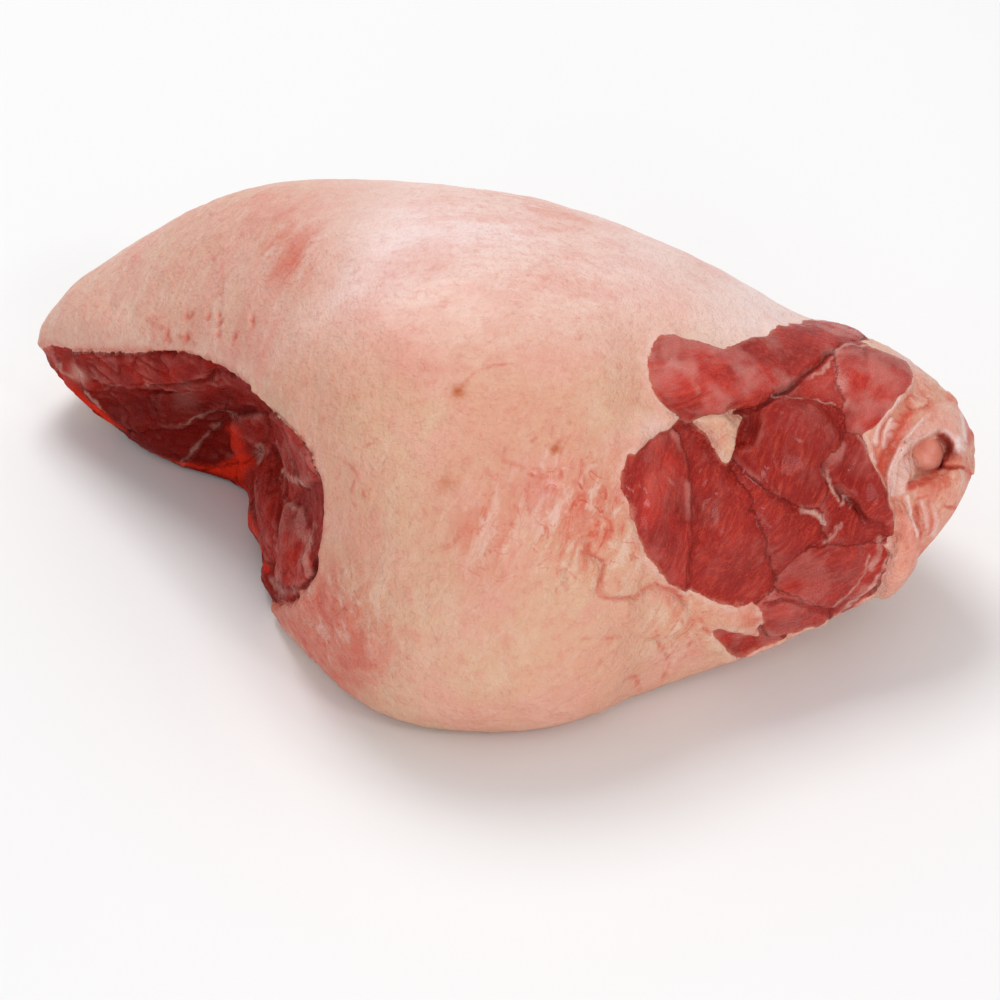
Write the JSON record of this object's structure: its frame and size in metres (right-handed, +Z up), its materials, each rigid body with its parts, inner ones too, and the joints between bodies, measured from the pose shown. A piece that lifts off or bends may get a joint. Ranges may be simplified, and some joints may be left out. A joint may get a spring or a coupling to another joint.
{
  "type": "raw leg of lamb",
  "caption": "Raw semi-boneless leg of lamb with its fat cover, the hip bone's cut face at one end and the trimmed shank end with the open knee joint at the other.",
  "frame": {"origin": "bottom centre of the bounding box, on the surface the meat lies on", "axes": "+Z up as it lies on its flat underside, +X along the leg towards the shank end, -Y towards the side where the cut faces open"},
  "size_m": [0.3076, 0.2116, 0.1239],
  "materials": {
    "meat": "moist pale pink fat over dark red lean meat, satin"
  },
  "bodies": {
    "root": {"leg": "meat"}
  },
  "joints": []
}
